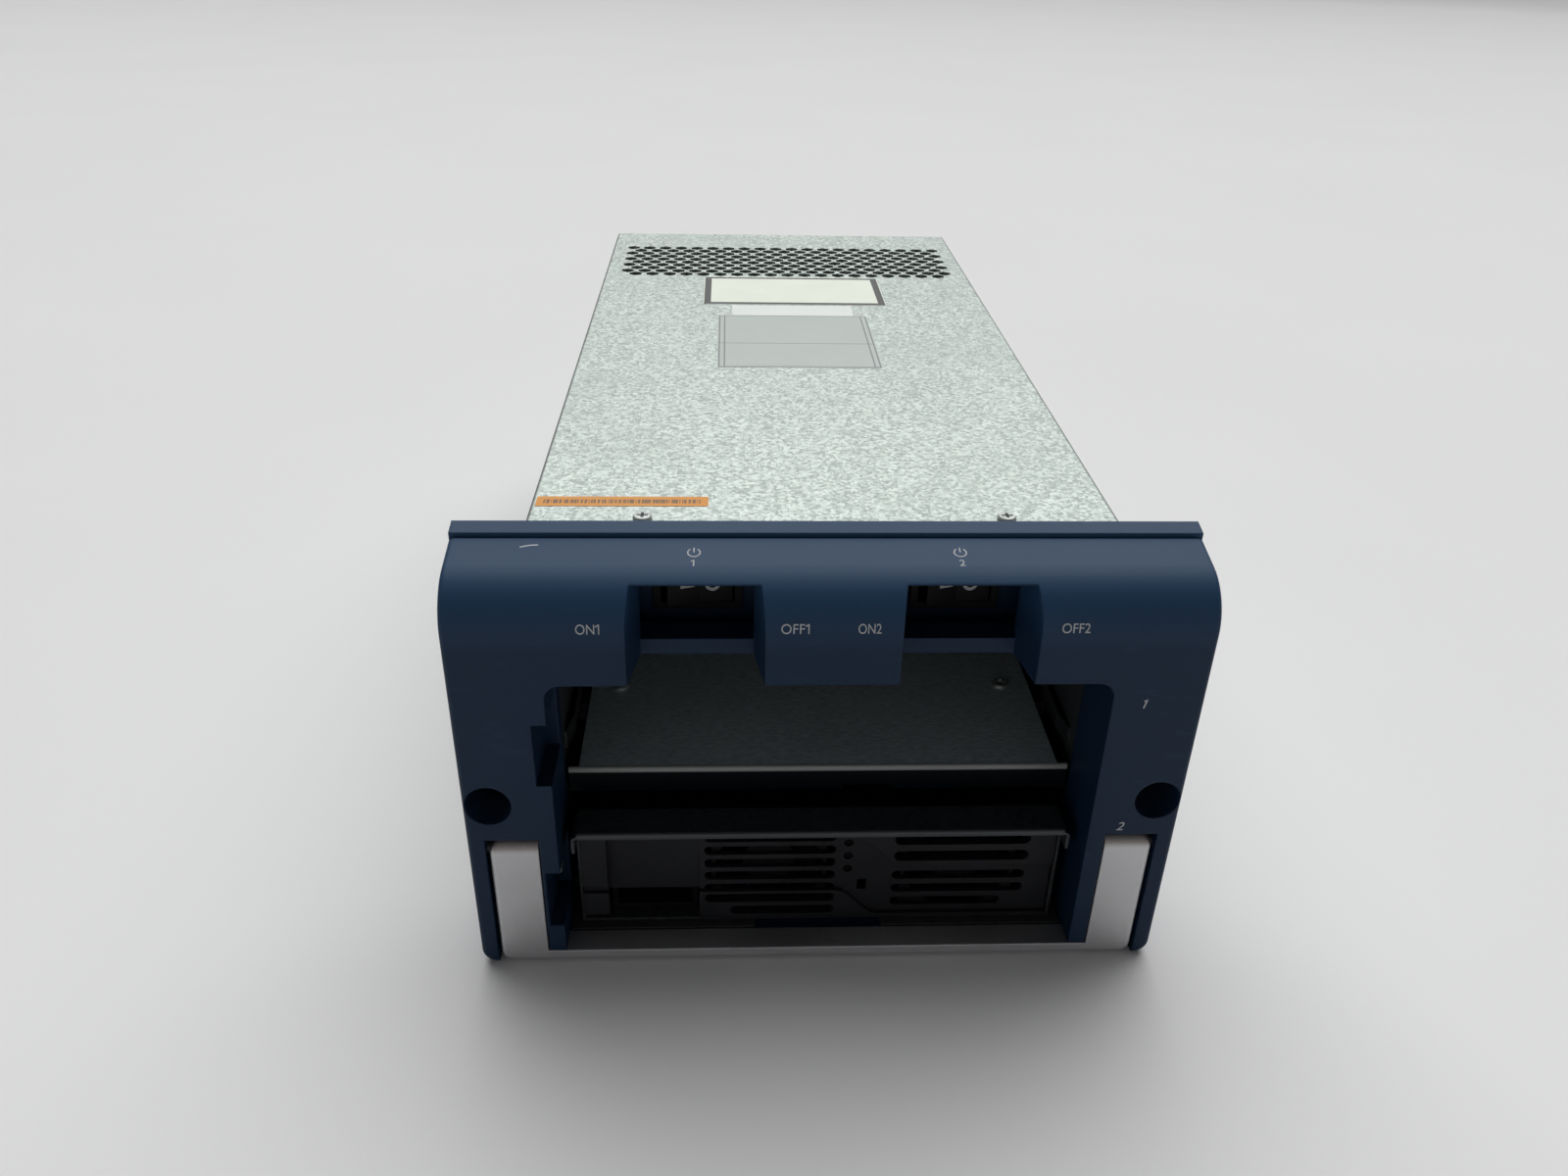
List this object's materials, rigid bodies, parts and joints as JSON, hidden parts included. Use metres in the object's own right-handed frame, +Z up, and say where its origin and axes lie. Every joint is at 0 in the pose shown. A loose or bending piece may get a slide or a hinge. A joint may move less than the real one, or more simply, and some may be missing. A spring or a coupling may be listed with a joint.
{
  "type": "ac power supply",
  "caption": "Rack power supply: galvanised case with hexagonal vents, dark blue moulded front, swinging pull handle, rocker switches and open bays with a plug-in module.",
  "frame": {"origin": "bottom centre of the unit's bounding box", "axes": "+X to the right seen from the front, +Y to the rear, +Z up"},
  "size_m": [0.2, 0.367, 0.1325],
  "materials": {
    "navy_plastic": "fine moulded texture, satin",
    "satin_aluminium": "satin, bead-blasted",
    "galvanised_steel": "galvanised, spangled",
    "plated_steel": "bright zinc plate",
    "spring_steel": "rolled spring strip",
    "black_plastic": "moulded, slightly glossy",
    "charcoal_plastic": "moulded, fine texture",
    "lamp_plastic": "clear tinted light pipe",
    "copper": "bare rolled copper",
    "circuit_board": "solder resist over glass fibre",
    "sink_aluminium": "extruded",
    "ferrite": "sintered ferrite, ground faces",
    "winding_tape": "polyester tape over copper wire",
    "capacitor_sleeve": "shrunk plastic sleeve",
    "choke_wire": "enamelled copper wire"
  },
  "bodies": {
    "frame": {"front_bezel": "navy_plastic", "handle_pin_left": "plated_steel", "handle_pin_right": "plated_steel", "chassis_base": "galvanised_steel", "top_cover": "galvanised_steel", "rear_panel": "galvanised_steel", "bay_cage": "galvanised_steel", "bay_shelf": "galvanised_steel", "shelf_rails": "galvanised_steel", "guide_spring_lower_left": "spring_steel", "guide_spring_lower_right": "spring_steel", "guide_spring_upper_left": "spring_steel", "guide_spring_upper_right": "spring_steel", "backplane_board": "circuit_board", "bay_socket_lower": "black_plastic", "bay_socket_upper": "black_plastic", "output_connector": "black_plastic", "output_blades": "copper", "busbars": "copper", "switch_bracket": "galvanised_steel", "switch_body_1": "black_plastic", "switch_body_2": "black_plastic", "switch_board": "circuit_board", "board_posts": "plated_steel", "output_relays": "black_plastic", "cover_screws": "plated_steel", "shelf_screws": "plated_steel", "bezel_screws": "plated_steel"},
    "handle": {"pull_handle": "satin_aluminium"},
    "rocker_1": {"rocker_1": "black_plastic"},
    "rocker_2": {"rocker_2": "black_plastic"},
    "module": {"module_case": "galvanised_steel", "module_cover": "galvanised_steel", "module_front": "charcoal_plastic", "status_lights": "lamp_plastic", "module_inlet": "black_plastic", "inlet_contacts": "plated_steel", "latch_pin": "plated_steel", "fan_frame_left": "black_plastic", "fan_frame_right": "black_plastic", "module_board": "circuit_board", "module_posts": "plated_steel", "heat_sink_left": "sink_aluminium", "heat_sink_right": "sink_aluminium", "transformer_core": "ferrite", "transformer_winding": "winding_tape", "bulk_capacitors": "capacitor_sleeve", "filter_choke": "choke_wire", "module_plug": "black_plastic", "module_blades": "copper", "module_screws": "plated_steel"},
    "latch": {"module_latch": "charcoal_plastic"},
    "captive_left": {"captive_screw_left": "plated_steel", "captive_clip_left": "spring_steel"},
    "captive_right": {"captive_screw_right": "plated_steel", "captive_clip_right": "spring_steel"},
    "fan_left": {"fan_rotor_left": "black_plastic"},
    "fan_right": {"fan_rotor_right": "black_plastic"}
  },
  "joints": [
    {"name": "handle_swing", "type": "hinge", "parent": "frame", "child": "handle", "pos_m": [0, -0.1795, 0.042], "axis": [-1, 0, 0], "range_deg": [0, 100]},
    {"name": "rocker_1_tilt", "type": "hinge", "parent": "frame", "child": "rocker_1", "pos_m": [-0.0355, -0.153, 0.113], "axis": [0, 0, -1], "range_deg": [0, 20]},
    {"name": "rocker_2_tilt", "type": "hinge", "parent": "frame", "child": "rocker_2", "pos_m": [0.0355, -0.153, 0.113], "axis": [0, 0, -1], "range_deg": [0, 20]},
    {"name": "module_slide", "type": "slide", "parent": "frame", "child": "module", "axis": [0, -1, 0], "range_m": [0, 0.25]},
    {"name": "latch_press", "type": "hinge", "parent": "module", "child": "latch", "pos_m": [-0.0675, -0.1385, 0.023], "axis": [0, 0, 1], "range_deg": [0, 5], "stiffness_Nm_per_rad": 0.5},
    {"name": "captive_left_turn", "type": "hinge", "parent": "frame", "child": "captive_left", "pos_m": [-0.0929, -0.1635, 0.0594], "axis": [0, 1, 0], "continuous": true},
    {"name": "captive_right_turn", "type": "hinge", "parent": "frame", "child": "captive_right", "pos_m": [0.0929, -0.1635, 0.0594], "axis": [0, 1, 0], "continuous": true},
    {"name": "fan_left_spin", "type": "hinge", "parent": "module", "child": "fan_left", "pos_m": [-0.015, -0.1585, 0.0231], "axis": [0, 1, 0], "continuous": true},
    {"name": "fan_right_spin", "type": "hinge", "parent": "module", "child": "fan_right", "pos_m": [0.042, -0.1585, 0.0231], "axis": [0, 1, 0], "continuous": true}
  ]
}
